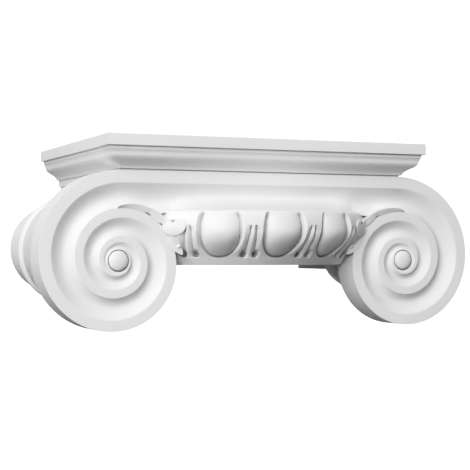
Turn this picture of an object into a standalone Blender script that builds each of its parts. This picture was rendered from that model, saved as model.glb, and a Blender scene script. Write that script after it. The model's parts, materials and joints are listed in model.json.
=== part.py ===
"""Ionic capital of a half column, cast in one piece, with a flat back for the wall.

X runs along the front, Y goes back into the wall and Z is up. The origin is the centre
of the flat wall face. Heights inside a form are counted from the shaft seat. Most forms
are closed solids of their right half, mirrored across the middle plane. The abacus and
the plain body are whole, and all the forms are joined into one body.
"""
import math

import bmesh
import bpy
from mathutils import Matrix

# Abacus, the slab on top
ABACUS_WIDTH = 0.344
ABACUS_DEPTH = 0.252
FASCIA_HEIGHT = 0.0114
FASCIA_EDGE = 0.0008
SOFFIT_WIDTH = 0.0033
OGEE_HEIGHT = 0.0190
OGEE_PROJECTION = 0.0151
ABACUS_FILLET = 0.0028

# Front plate and its two volutes
FACE_SETBACK = 0.0194
PLATE_THICKNESS = 0.033
EYE_SPACING = 0.311
EYE_ABOVE_SEAT = 0.0048
VOLUTE_RADIUS = 0.087
VOLUTE_TURNS = 3
VOLUTE_TIGHTENING = 1.6
EYE_RADIUS = 0.0106
EYE_GROOVE = 0.0025
EYE_RISE = 0.004
RIM_WIDTH = 0.0124
RIM_THINNING = 0.6
RIM_SHARE_LIMIT = 0.55
TROUGH_SLOPE = 0.36
TROUGH_ROUNDING = 0.7
CHANNEL_SWEEP = 2.4

# Echinus, the round cushion under the channel
ECHINUS_CENTRE_DEPTH = 0.122
ECHINUS_RADIUS = 0.1555
ECHINUS_BULGE = 0.663
ECHINUS_COVE = 1.1
LIP_INSET = 0.0055
LIP_HEIGHT = 0.0535
LIP_FADE = 0.14
ECHINUS_FOOT_RADIUS = 0.1385
ECHINUS_FOOT_HEIGHT = 0.0070
SEAT_RADIUS = 0.1335
ECHINUS_LEAN = 0.0060
LEAN_HEIGHT = 0.036

# Egg-and-dart band, whose widths are angles round the echinus
EGG_PITCH = math.radians(24)
EGG_HALF_WIDTH = math.radians(7.1)
EGG_TOP_NARROWING = 0.2
EGG_RISE = 0.0030
EGG_FADE = 0.42
EGG_ROUNDNESS = 2.2
EGG_SHOULDER = 0.536
EGG_FOOT = 0.03
EGG_FULLNESS = 0.87
CUP_DEPTH = 0.0058
CUP_FLOOR_LEVEL = 1.05
CUP_LEVEL = 1.24
CUP_FOOT_SHARE = 0.7
DART_SINK = 0.0030
DART_TOP = 0.642
DART_FADE = 0.1
EGG_CELLS = 2.5
EGG_COUNT = 2

# Bolsters, the cushions that run back from the volutes
BOLSTER_SPACING = 0.3608
BOLSTER_ABOVE_SEAT = 0.0161
BOLSTER_RADIUS = 0.0443
NECK_LENGTH = 0.0626
NECK_DISC_SHARE = 0.33
NECK_TUCK = 0.0022
NECK_SWEEP = 1.3
RIDGE_WIDTH = 0.0125
RIDGE_RISE = 0.0042
RIDGE_CREST = 0.74
BAND_DISC_SHARE = 0.285
BAND_TUCK = 0.0024
BAND_GROOVE = 0.0012
BAND_LENGTH = 0.0445
DISC_STEP = 0.0004
DISC_OPENING = 0.82

# Plain block behind, which meets the wall
BODY_WIDTH = 0.298
BODY_ABOVE_SEAT = 0.004
REAR_BLOCK_INNER = 0.1463
REAR_BLOCK_OUTER = 0.190
REAR_BLOCK_DROP = 0.0069
REAR_BLOCK_TOP = 0.045

# Leaf sprig in the corner between volute and echinus: a ribbon that ends in a scroll
RIBBON_START_TURN = 1.003
RIBBON_END_TURN = 0.847
RIBBON_WIDTH = 0.0082
RIBBON_SWELL = 0.6
RIBBON_LIFT = 0.0030
RIBBON_LOW_SIDE = 0.5
RIBBON_SINK = 0.0006
SCROLL_X = 0.1018
SCROLL_ABOVE_SEAT = 0.0378
SCROLL_RADIUS = 0.0097
SCROLL_TIGHTENING = 0.0009
SCROLL_SWEEP = math.radians(320)
SCROLL_CLOSING = 0.72
SCROLL_EYE_X = 0.1027
SCROLL_EYE_ABOVE_SEAT = 0.0424
SCROLL_EYE_RADIUS = 0.0017
SCROLL_EYE_DEPTH = 0.0045
SPRIG_ROOT = 0.030
LEAFLET_STEM_X = 0.1065
LEAFLET_STEM_ABOVE_SEAT = 0.0285
LEAFLET_TIP_X = 0.0900
LEAFLET_TIP_ABOVE_SEAT = 0.0105
LEAFLET_HALF_WIDTH = 0.0052
LEAFLET_LIFT = 0.0018
LEAFLET_SWELL = 0.8
LEAFLET_END = 0.08
LEAFLET_END_LIFT = 0.25
LEAFLET_VEIN = 0.25

# Fineness of the facets
SPIRAL_STEPS = 32
SEAM_STEPS = 3
CHANNEL_COLUMNS = 9
TROUGH_SHARES = (0.08, 0.28, 0.55, 0.82)
DOME_SHARES = (0.93, 0.75, 0.45)
OGEE_STEPS = 7
EGG_LEVELS = (0, 0.45, 0.75, 0.92, 0.99)
EGG_SIDE_STEPS = 4
EGG_ARC_STEPS = 6
CUP_STEPS = 2
DART_PARTS = ((0.35, 1.0), (0.6, 1.0), (0.75, 0.0), (1.0, 0.0))
FLANK_STEPS = 3
NECK_STEPS = 4
RIBBON_STEPS = 7
RIBBON_POINTS = 3
SCROLL_STEPS = 14
LEAF_STEPS = 6
SHARP_ANGLE = math.radians(32)
MERGE_DISTANCE = 0.000002
MIRROR_MERGE = 0.00001
OVERLAP = 0.006

WHITE = (0.86, 0.86, 0.85, 1.0)
ROUGHNESS = 0.55

# Sizes that follow from the ones above
EYE_X = EYE_SPACING / 2
BOLSTER_X = BOLSTER_SPACING / 2
PLATE_TOP = EYE_ABOVE_SEAT + VOLUTE_RADIUS
ABACUS_TOP = PLATE_TOP + ABACUS_FILLET + OGEE_HEIGHT + FASCIA_HEIGHT
SEAT_Z = -ABACUS_TOP / 2
FACE_Y = FACE_SETBACK - ABACUS_DEPTH
PLATE_BACK_Y = FACE_Y + PLATE_THICKNESS
RIDGE_Y = PLATE_BACK_Y + NECK_LENGTH
BAND_Y = RIDGE_Y + RIDGE_WIDTH
BAND_END_Y = BAND_Y + BAND_LENGTH
BAND_RANGE = LIP_HEIGHT - ECHINUS_FOOT_HEIGHT
TURN = 2 * math.pi
SPIRAL_ANGLE = TURN * VOLUTE_TURNS


def remove_everything():
    for thing in list(bpy.data.objects):
        bpy.data.objects.remove(thing, do_unlink=True)


def new_object(name, builder):
    """Turn a bmesh into an object whose heights are counted from the shaft seat."""
    bmesh.ops.remove_doubles(builder, verts=builder.verts, dist=MERGE_DISTANCE)
    bmesh.ops.recalc_face_normals(builder, faces=builder.faces)
    mesh = bpy.data.meshes.new(name)
    builder.to_mesh(mesh)
    builder.free()
    mesh.shade_smooth()
    mesh.set_sharp_from_angle(angle=SHARP_ANGLE)
    thing = bpy.data.objects.new(name, mesh)
    thing.location.z = SEAT_Z
    bpy.context.collection.objects.link(thing)
    return thing


def mirror_across_middle(thing):
    mirror = thing.modifiers.new("Mirror", "MIRROR")
    mirror.use_axis = (True, False, False)
    mirror.merge_threshold = MIRROR_MERGE


def fill_strip(builder, first, second):
    """Fill the band between two rows of vertices, where equal corners fall together."""
    for corners in zip(first, first[1:], second[1:], second):
        different = list(dict.fromkeys(corners))
        if len(different) > 2:
            builder.faces.new(different)


def closed(row):
    return row + row[:1]


def smooth_step(share):
    share = min(max(share, 0.0), 1.0)
    return share * share * (3 - 2 * share)


def mix(first, second, share):
    return first + (second - first) * share


def rounded_shares(count):
    """Shares from 0 to 1, closer together near both ends."""
    return [0.5 - 0.5 * math.cos(math.pi * step / count) for step in range(count + 1)]


def spiral_radius(angle):
    """Radius of the volute's outer edge, once it has turned by angle from its top."""
    left = max(1 - angle / SPIRAL_ANGLE, 0.0)
    return mix(EYE_RADIUS, VOLUTE_RADIUS, left ** VOLUTE_TIGHTENING)


def around_eye(angle, radius):
    """X and height of a point of the right volute, with angle zero at its top."""
    return EYE_X + radius * math.sin(angle), EYE_ABOVE_SEAT + radius * math.cos(angle)


def trough_depth(share, width):
    """Depth of the hollow between two rims, at a share of its width."""
    return TROUGH_SLOPE * width * math.sin(math.pi * share) ** TROUGH_ROUNDING


def coil_section(angle):
    """Radius and depth of each point from the outer edge of a coil to the next one."""
    outer = spiral_radius(angle)
    inner = max(spiral_radius(angle + TURN), EYE_RADIUS)
    left = max(1 - angle / SPIRAL_ANGLE, 0.0)
    rim = min(RIM_WIDTH * left ** RIM_THINNING, RIM_SHARE_LIMIT * (outer - inner))
    width = outer - rim - inner
    points = [(outer, 0.0), (outer - rim, 0.0)]
    for share in TROUGH_SHARES:
        points.append((outer - rim - share * width, trough_depth(share, width)))
    return points


def ledge_y(x):
    """Front of the channel's ledge, which runs into the round echinus."""
    radius = ECHINUS_RADIUS - LIP_INSET
    if abs(x) >= radius:
        return FACE_Y
    return min(FACE_Y, -ECHINUS_CENTRE_DEPTH - math.sqrt(radius ** 2 - x * x))


def add_volute(builder):
    """Coiled face of the right volute. Gives its outer edge and its first section."""
    steps = SPIRAL_STEPS
    last = steps * VOLUTE_TURNS
    outer = []
    middle = []
    for step in range(last + 1):
        angle = TURN * step / steps
        section = []
        for radius, depth in coil_section(angle):
            x, z = around_eye(angle, radius)
            section.append((x, FACE_Y + depth, z))
        outer.append(builder.verts.new(section[0]))
        if step < last:
            middle.append([builder.verts.new(point) for point in section[1:]])
    middle.append([outer[last]] * len(middle[0]))

    socket = [outer[last]]
    for step in range(1, steps):
        x, z = around_eye(TURN * step / steps, EYE_RADIUS)
        socket.append(builder.verts.new((x, FACE_Y, z)))

    rows = []
    for step in range(last + 1):
        if step + steps <= last:
            end = outer[step + steps]
        else:
            end = socket[(step + steps - last) % steps]
        rows.append([outer[step]] + middle[step] + [end])
    for first, second in zip(rows, rows[1:]):
        fill_strip(builder, first, second)
    add_eye(builder, socket)
    return outer, rows[0]


def add_eye(builder, socket):
    """Domed eye that stands in a narrow groove inside the last coil."""
    ring = socket
    dome = EYE_RADIUS - EYE_GROOVE / 3
    profile = [(dome, EYE_GROOVE)]
    for share in DOME_SHARES:
        profile.append((dome * share, -EYE_RISE * math.sqrt(1 - share * share)))
    for radius, depth in profile:
        inner = []
        for step in range(SPIRAL_STEPS):
            x, z = around_eye(TURN * step / SPIRAL_STEPS, radius)
            inner.append(builder.verts.new((x, FACE_Y + depth, z)))
        fill_strip(builder, closed(ring), closed(inner))
        ring = inner
    top = builder.verts.new((EYE_X, FACE_Y - EYE_RISE, EYE_ABOVE_SEAT))
    fill_strip(builder, closed(ring), [top] * (SPIRAL_STEPS + 1))


def channel_section(x, top, rim, bottom):
    """Points down one column of the channel, from the plate's top to above its ledge."""
    sweep = FACE_Y - ledge_y(x)
    width = rim - bottom
    points = [(x, FACE_Y, top), (x, FACE_Y, rim)]
    for share in TROUGH_SHARES:
        y = FACE_Y + trough_depth(share, width) - sweep * share ** CHANNEL_SWEEP
        points.append((x, y, rim - share * width))
    return points


def add_channel(builder, outer, first_row):
    """Channel from the volute to the middle. Gives its upper and its lower edge."""
    top, rim = first_row[0].co.z, first_row[1].co.z
    bottoms = [outer[SPIRAL_STEPS - step] for step in range(1, SEAM_STEPS + 1)]
    start = bottoms[-1].co.copy()
    for column in range(1, CHANNEL_COLUMNS + 1):
        share = column / CHANNEL_COLUMNS
        x = start.x * (1 - share)
        z = mix(start.z, LIP_HEIGHT, smooth_step(share * 3))
        bottoms.append(builder.verts.new((x, ledge_y(x), z)))
    rows = [first_row]
    for bottom in bottoms:
        section = channel_section(bottom.co.x, top, rim, bottom.co.z)
        rows.append([builder.verts.new(point) for point in section] + [bottom])
    for first, second in zip(rows, rows[1:]):
        fill_strip(builder, first, second)
    upper = [row[0] for row in reversed(rows)]
    lower = [row[-1] for row in rows[SEAM_STEPS:]]
    return upper, lower


def make_plate():
    """Front plate: the channel between the volutes, and the volutes as thick discs."""
    builder = bmesh.new()
    outer, first_row = add_volute(builder)
    upper, lower = add_channel(builder, outer, first_row)
    edge = upper + outer[1:SPIRAL_STEPS - SEAM_STEPS] + lower
    back = [builder.verts.new((v.co.x, PLATE_BACK_Y, v.co.z)) for v in edge]
    fill_strip(builder, edge, back)
    builder.faces.new(back)
    plate = new_object("plate", builder)
    mirror_across_middle(plate)
    return plate


def make_abacus():
    """Slab with a fascia over an ogee, mitred at the front and cut flat at the wall."""
    half = ABACUS_WIDTH / 2
    under = ABACUS_TOP - FASCIA_HEIGHT
    profile = [(FASCIA_EDGE, ABACUS_TOP), (0.0, ABACUS_TOP - FASCIA_EDGE), (0.0, under)]
    for step in range(OGEE_STEPS + 1):
        share = step / OGEE_STEPS
        inset = SOFFIT_WIDTH + OGEE_PROJECTION * smooth_step(share)
        profile.append((inset, under - OGEE_HEIGHT * share))
    profile.append((SOFFIT_WIDTH + OGEE_PROJECTION, PLATE_TOP - OVERLAP))
    builder = bmesh.new()
    rings = []
    for inset, z in profile:
        x = half - inset
        front = inset - ABACUS_DEPTH
        corners = ((-x, 0), (-x, front), (x, front), (x, 0))
        rings.append([builder.verts.new((cx, cy, z)) for cx, cy in corners])
    for first, second in zip(rings, rings[1:]):
        fill_strip(builder, first, second)
    builder.faces.new(rings[0])
    builder.faces.new(rings[-1])
    builder.faces.new([ring[0] for ring in rings] + [ring[-1] for ring in reversed(rings)])
    return new_object("abacus", builder)


def web_radius(share):
    """Radius of the band between the eggs, at a share of the band's height."""
    if share <= ECHINUS_BULGE:
        bulge = math.sin(math.pi / 2 * max(share, 0.0) / ECHINUS_BULGE)
        return mix(ECHINUS_FOOT_RADIUS, ECHINUS_RADIUS, bulge ** ECHINUS_COVE)
    rest = min((share - ECHINUS_BULGE) / (1 - ECHINUS_BULGE), 1.0)
    return ECHINUS_RADIUS - LIP_INSET * (1 - math.sqrt(1 - rest ** 2))


def echinus_point(angle, share, relief):
    """Point of the band at an angle from the front and a share of the band's height."""
    radius = web_radius(share) + relief
    return ring_point(angle, radius, mix(ECHINUS_FOOT_HEIGHT, LIP_HEIGHT, share))


def centre_y(height):
    """Depth of the echinus' centre, which leans back towards its foot."""
    return ECHINUS_LEAN * smooth_step(1 - height / LEAN_HEIGHT) - ECHINUS_CENTRE_DEPTH


def ring_point(angle, radius, height):
    x = radius * math.sin(angle)
    return x, centre_y(height) - radius * math.cos(angle), height


def side_shares():
    """Shares of the height down the straight side of an egg, closer near the lip."""
    shares = [(step / EGG_SIDE_STEPS) ** 1.6 for step in range(EGG_SIDE_STEPS)]
    return [mix(1.0, EGG_SHOULDER, share) for share in shares]


def egg_path(level):
    """Half of a U-shaped line round an egg, from the lip down to under the egg.

    Level 1 is the egg's own edge. Each point is an angle and a share of the height.
    """
    width = level * EGG_HALF_WIDTH
    drop = EGG_SHOULDER - EGG_FOOT
    if level > 1:
        drop += EGG_FOOT * CUP_FOOT_SHARE * (level - 1) / (CUP_LEVEL - 1)
    else:
        drop *= level
    points = []
    for share in side_shares():
        above = (share - EGG_SHOULDER) / (1 - EGG_SHOULDER)
        points.append((width * (1 - EGG_TOP_NARROWING * above ** 2.5), share))
    for step in range(EGG_ARC_STEPS + 1):
        arc = math.pi / 2 * step / EGG_ARC_STEPS
        across = max(math.cos(arc), 0.0) ** EGG_FULLNESS
        points.append((width * across, EGG_SHOULDER - drop * math.sin(arc) ** EGG_FULLNESS))
    return points


def cell_border():
    """Edge of one egg's cell, matched point by point to the lines round the egg."""
    side = EGG_PITCH / 2
    points = [(side, share) for share in side_shares()]
    for step in range(EGG_ARC_STEPS + 1):
        share = 2 * step / EGG_ARC_STEPS
        if share <= 1:
            points.append((side, EGG_SHOULDER * (1 - share)))
        else:
            points.append((side * (2 - share), 0.0))
    return points


def lip_fade(share):
    """How much of the carving is left, since it dies out under the lip."""
    return smooth_step((1 - share) / LIP_FADE)


def egg_relief(level, share):
    """Height of the egg over the web, which it meets flush under the lip."""
    floor = -CUP_DEPTH * lip_fade(share)
    peak = EGG_RISE * smooth_step((1 - share) / EGG_FADE)
    return mix(floor, peak, math.sqrt(max(1 - level ** EGG_ROUNDNESS, 0.0)))


def egg_rows(strength):
    """Rows of points from an egg's spine out to the middle of the next dart.

    Strength 1 carves the egg and its cup, and strength 0 leaves them plain.
    """
    rows = []
    for level in EGG_LEVELS:
        rows.append([(a, s, strength * egg_relief(level, s)) for a, s in egg_path(level)])
    for step in range(CUP_STEPS + 1):
        share = step / CUP_STEPS
        row = []
        for a, s in egg_path(mix(CUP_FLOOR_LEVEL, CUP_LEVEL, share)):
            row.append((a, s, -strength * CUP_DEPTH * lip_fade(s) * (1 - share)))
        rows.append(row)
    ridge = egg_path(CUP_LEVEL)
    border = cell_border()
    for part, sink in DART_PARTS:
        row = []
        for (a, s), (border_a, border_s) in zip(ridge, border):
            height = mix(s, border_s, part)
            depth = smooth_step((DART_TOP - height) / DART_FADE)
            depth *= DART_SINK * sink * smooth_step(height / DART_FADE)
            row.append((mix(a, border_a, part), height, -depth))
        rows.append(row)
    return rows


def add_half_egg(builder, centre, side, strength):
    """One side of an egg with its cup and half a dart. Gives its border vertices."""
    vertices = []
    for row in egg_rows(strength):
        points = [echinus_point(centre + side * a, s, relief) for a, s, relief in row]
        vertices.append([builder.verts.new(point) for point in points])
    for first, second in zip(vertices, vertices[1:]):
        fill_strip(builder, first, second)
    border = vertices[-1]
    corner = EGG_SIDE_STEPS + EGG_ARC_STEPS // 2
    angles = [centre + side * a for a, s in cell_border()[corner:]]
    seat = [builder.verts.new(ring_point(a, SEAT_RADIUS, 0.0)) for a in angles]
    fill_strip(builder, border[corner:], seat)
    return border[:corner + 1]


def add_column(builder, angle, middle):
    """Column of vertices down the echinus, with the given ones on its band."""
    return middle + [builder.verts.new(ring_point(angle, SEAT_RADIUS, 0.0))]


def add_flank(builder, edge):
    """Plain side of the echinus, from the last egg to the side and on to the wall."""
    shares = [(vertex.co.z - ECHINUS_FOOT_HEIGHT) / BAND_RANGE for vertex in edge]
    start = EGG_PITCH * EGG_CELLS
    column = add_column(builder, start, edge)
    for step in range(1, FLANK_STEPS + 1):
        angle = mix(start, math.pi / 2, step / FLANK_STEPS)
        points = [echinus_point(angle, share, 0.0) for share in shares]
        middle = [builder.verts.new(point) for point in points]
        following = add_column(builder, angle, middle)
        fill_strip(builder, column, following)
        column = following
    wall = [builder.verts.new((v.co.x, 0.0, v.co.z)) for v in column]
    fill_strip(builder, column, wall)
    return wall


def make_echinus():
    """Round cushion with the egg-and-dart band, flat below where the shaft seats."""
    builder = bmesh.new()
    sides = [(0, 1)]
    for cell in range(1, math.ceil(EGG_CELLS)):
        sides += [(cell, -1), (cell, 1)]
    for cell, side in sides:
        strength = 1 if cell < EGG_COUNT else 0
        border = add_half_egg(builder, cell * EGG_PITCH, side, strength)
    wall = add_flank(builder, border)
    middle_top = builder.verts.new((0.0, 0.0, LIP_HEIGHT))
    middle_foot = builder.verts.new((0.0, 0.0, 0.0))
    builder.faces.new(wall + [middle_foot, middle_top])
    bmesh.ops.remove_doubles(builder, verts=builder.verts, dist=MERGE_DISTANCE)
    for height in (LIP_HEIGHT, 0.0):
        cap_level(builder, height)
    echinus = new_object("echinus", builder)
    mirror_across_middle(echinus)
    return echinus


def cap_level(builder, height):
    """Close the open edge that lies at one height, apart from the middle plane."""
    edges = []
    for edge in builder.edges:
        level = all(abs(v.co.z - height) < MIRROR_MERGE for v in edge.verts)
        if level and len(edge.link_faces) == 1:
            edges.append(edge)
    builder.faces.new(ordered_chain(edges))


def ordered_chain(edges):
    """Vertices of an open chain of edges, in order."""
    links = {}
    for edge in edges:
        first, second = edge.verts
        links.setdefault(first, []).append(second)
        links.setdefault(second, []).append(first)
    start = next(vertex for vertex, ends in links.items() if len(ends) == 1)
    chain = [start]
    while True:
        following = [v for v in links[chain[-1]] if v not in chain[-2:]]
        if not following:
            return chain
        chain.append(following[0])


def disc_outline(angle):
    """X and height of the volute's outline, closed where it opens into the channel."""
    opening = DISC_OPENING * TURN
    radius = spiral_radius(min(angle, opening))
    if angle > opening:
        rest = (angle - opening) / (TURN - opening)
        radius = mix(radius, VOLUTE_RADIUS, smooth_step(rest))
    return around_eye(angle, radius)


def bolster_ring(builder, y, disc_share, tuck):
    """Ring between a circle (share 0) and the volute's outline (1), tucked in a little."""
    ring = []
    for step in range(SPIRAL_STEPS):
        angle = TURN * step / SPIRAL_STEPS
        disc_x, disc_z = disc_outline(angle)
        side, up = math.sin(angle), math.cos(angle)
        x = mix(BOLSTER_X + BOLSTER_RADIUS * side, disc_x, disc_share) - tuck * side
        z = mix(BOLSTER_ABOVE_SEAT + BOLSTER_RADIUS * up, disc_z, disc_share) - tuck * up
        ring.append(builder.verts.new((x, y, z)))
    return ring


def bolster_profile():
    """Depth, share of the volute's outline and tuck along one bolster."""
    profile = [(PLATE_BACK_Y - OVERLAP, 1.0, DISC_STEP)]
    for step in range(NECK_STEPS + 1):
        share = step / NECK_STEPS
        disc_share = mix(NECK_DISC_SHARE, 1.0, (1 - share) ** NECK_SWEEP)
        y = mix(PLATE_BACK_Y, RIDGE_Y, share)
        profile.append((y, disc_share, mix(DISC_STEP, NECK_TUCK, share)))
    low = BAND_TUCK + BAND_GROOVE
    for step in range(1, NECK_STEPS):
        share = 0.5 - 0.5 * math.cos(math.pi * step / NECK_STEPS)
        disc_share = mix(NECK_DISC_SHARE, BAND_DISC_SHARE, share)
        rise = min(share / RIDGE_CREST, (1 - share) / (1 - RIDGE_CREST))
        tuck = mix(NECK_TUCK, low, share) - RIDGE_RISE * math.sin(math.pi / 2 * rise)
        profile.append((mix(RIDGE_Y, BAND_Y, share), disc_share, tuck))
    profile.append((BAND_Y, BAND_DISC_SHARE, low))
    profile.append((BAND_Y + BAND_GROOVE / 2, BAND_DISC_SHARE, low - BAND_GROOVE / 3))
    for step in range(NECK_STEPS + 1):
        share = step / NECK_STEPS
        y = mix(BAND_Y + BAND_GROOVE, BAND_END_Y - BAND_GROOVE, share)
        profile.append((y, BAND_DISC_SHARE * (1 - share), BAND_TUCK * (1 - share)))
    profile.append((BAND_END_Y, 0.0, BAND_GROOVE))
    return profile


def make_bolsters():
    """Cushions that shrink from the discs to a neck and end in a ridge and a band."""
    builder = bmesh.new()
    rings = [bolster_ring(builder, *station) for station in bolster_profile()]
    for first, second in zip(rings, rings[1:]):
        fill_strip(builder, closed(first), closed(second))
    builder.faces.new(rings[0])
    builder.faces.new(rings[-1])
    bolsters = new_object("bolsters", builder)
    mirror_across_middle(bolsters)
    return bolsters


def add_box(builder, low, high):
    size = [h - l for l, h in zip(low, high)]
    centre = [(l + h) / 2 for l, h in zip(low, high)]
    matrix = Matrix.Translation(centre) @ Matrix.Diagonal((*size, 1.0))
    bmesh.ops.create_cube(builder, size=1.0, matrix=matrix)


def make_body():
    """Plain block that fills the capital behind its front plate, flat at the wall."""
    builder = bmesh.new()
    half = BODY_WIDTH / 2
    low = (-half, PLATE_BACK_Y - OVERLAP, BODY_ABOVE_SEAT)
    add_box(builder, low, (half, 0.0, PLATE_TOP - OVERLAP / 2))
    return new_object("capital", builder)


def make_rear_blocks():
    """Blocks under the bolsters' ends, on both sides of the shaft's seat."""
    builder = bmesh.new()
    low = (REAR_BLOCK_INNER, BAND_END_Y - OVERLAP, -REAR_BLOCK_DROP)
    add_box(builder, low, (REAR_BLOCK_OUTER, 0.0, REAR_BLOCK_TOP))
    blocks = new_object("rear_blocks", builder)
    mirror_across_middle(blocks)
    return blocks


def carrier_y(x, height):
    """Depth of the surface under the sprig: the plate, then the round echinus."""
    share = (height - ECHINUS_FOOT_HEIGHT) / BAND_RANGE
    radius = web_radius(min(share, ECHINUS_BULGE))
    if abs(x) >= radius:
        return FACE_Y
    return min(FACE_Y, centre_y(height) - math.sqrt(radius ** 2 - x * x))


def ribbon_edges():
    """Lower edge, upper edge and inner bevel of the ribbon along the volute's rim."""
    edges = []
    for step in range(RIBBON_STEPS):
        share = step / RIBBON_STEPS
        angle = TURN * mix(RIBBON_START_TURN, RIBBON_END_TURN, share)
        rim = spiral_radius(angle)
        width = mix(RIBBON_WIDTH / 8, RIBBON_WIDTH, share ** RIBBON_SWELL)
        radii = (rim - RIBBON_SINK, rim + width, rim + width + RIBBON_WIDTH / 8)
        edges.append([around_eye(angle, radius) for radius in radii])
    return edges


def scroll_edges():
    """Outer edge, inner edge and bevel of the ribbon where it winds round its eye."""
    start_x, start_z = ribbon_edges()[-1][0]
    start = math.atan2(start_z - SCROLL_ABOVE_SEAT, start_x - SCROLL_X)
    edges = []
    for step in range(SCROLL_STEPS + 1):
        turned = SCROLL_SWEEP * step / SCROLL_STEPS
        side, up = math.cos(start - turned), math.sin(start - turned)
        radius = SCROLL_RADIUS - SCROLL_TIGHTENING * smooth_step(2 * turned / TURN)
        closing = smooth_step((turned / SCROLL_SWEEP - SCROLL_CLOSING) / (1 - SCROLL_CLOSING))
        eye = SCROLL_EYE_RADIUS
        row = []
        for ring in (eye * 1.3, eye, eye / 5):
            row.append((SCROLL_EYE_X + ring * side, SCROLL_EYE_ABOVE_SEAT + ring * up))
        outer_x = mix(SCROLL_X + radius * side, row[0][0], closing)
        outer_z = mix(SCROLL_ABOVE_SEAT + radius * up, row[0][1], closing)
        edges.append([(outer_x, outer_z), row[1], row[2]])
    return edges


def make_sprigs():
    """Flat ribbon that leaves the rim's top and rolls up into a scroll."""
    builder = bmesh.new()
    rings = []
    root = FACE_Y + SPRIG_ROOT
    sections = ribbon_edges() + scroll_edges()
    for place, (outer, inner, bevel) in enumerate(sections):
        section = [(bevel[0], root, bevel[1]), (outer[0], root, outer[1])]
        for share in rounded_shares(RIBBON_POINTS):
            x, z = mix(outer[0], inner[0], share), mix(outer[1], inner[1], share)
            rise = RIBBON_LIFT * mix(RIBBON_LOW_SIDE, 1.0, share)
            section.append((x, carrier_y(x, z) - rise, z))
        eye = carrier_y(*bevel) - RIBBON_LIFT + SCROLL_EYE_DEPTH
        depth = mix(root - RIBBON_SINK, eye, smooth_step(place / RIBBON_STEPS * 2 - 1))
        section.append((bevel[0], depth, bevel[1]))
        rings.append([builder.verts.new(point) for point in section])
    for first, second in zip(rings, rings[1:]):
        fill_strip(builder, closed(first), closed(second))
    builder.faces.new(rings[0])
    builder.faces.new(rings[-1])
    sprigs = new_object("sprigs", builder)
    mirror_across_middle(sprigs)
    return sprigs


def make_leaflets():
    """Small pointed leaf with a midrib that hangs below the scroll."""
    builder = bmesh.new()
    stem_x, stem_z = LEAFLET_STEM_X, LEAFLET_STEM_ABOVE_SEAT
    tip_x, tip_z = LEAFLET_TIP_X, LEAFLET_TIP_ABOVE_SEAT
    length = math.hypot(tip_x - stem_x, tip_z - stem_z)
    side_x, side_z = (stem_z - tip_z) / length, (tip_x - stem_x) / length
    rings = []
    for step in range(LEAF_STEPS + 1):
        share = step / LEAF_STEPS
        swell = math.sin(math.pi * share ** LEAFLET_SWELL) ** LEAFLET_SWELL
        half = LEAFLET_HALF_WIDTH * mix(LEAFLET_END, 1.0, swell)
        lift = LEAFLET_LIFT * mix(LEAFLET_END_LIFT, 1.0, math.sin(math.pi * share))
        x, z = mix(stem_x, tip_x, share), mix(stem_z, tip_z, share)
        ring = []
        for across in rounded_shares(RIBBON_POINTS):
            offset = (2 * across - 1) * half
            px, pz = x + offset * side_x, z + offset * side_z
            vein = LEAFLET_VEIN * (1 - abs(2 * across - 1)) ** 3
            rise = lift * (mix(0.5, 1.0, math.sin(math.pi * across)) - vein)
            ring.append((px, carrier_y(px, pz) - rise, pz))
        root = FACE_Y + SPRIG_ROOT
        ring += [(ring[-1][0], root, ring[-1][2]), (ring[0][0], root, ring[0][2])]
        rings.append([builder.verts.new(point) for point in ring])
    for first, second in zip(rings, rings[1:]):
        fill_strip(builder, closed(first), closed(second))
    builder.faces.new(rings[0])
    builder.faces.new(rings[-1])
    leaflets = new_object("leaflets", builder)
    mirror_across_middle(leaflets)
    return leaflets


def add_material(thing):
    material = bpy.data.materials.new("primed white")
    material.use_nodes = True
    shader = material.node_tree.nodes["Principled BSDF"]
    shader.inputs["Base Color"].default_value = WHITE
    shader.inputs["Roughness"].default_value = ROUGHNESS
    shader.inputs["Metallic"].default_value = 0.0
    thing.data.materials.append(material)


def join_forms(body, forms):
    """Unite the forms with the body. The exact solver leaves this union open."""
    for form in forms:
        form.hide_render = True
        form.display_type = "WIRE"
        union = body.modifiers.new("Join " + form.name, "BOOLEAN")
        union.operation = "UNION"
        union.solver = "MANIFOLD"
        union.object = form


def main():
    remove_everything()
    capital = make_body()
    forms = [make_abacus(), make_echinus(), make_rear_blocks(), make_bolsters()]
    forms += [make_plate(), make_sprigs(), make_leaflets()]
    join_forms(capital, forms)
    add_material(capital)


main()
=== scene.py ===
import json
import math

import bmesh
import bpy
from mathutils import Matrix, Vector


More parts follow.
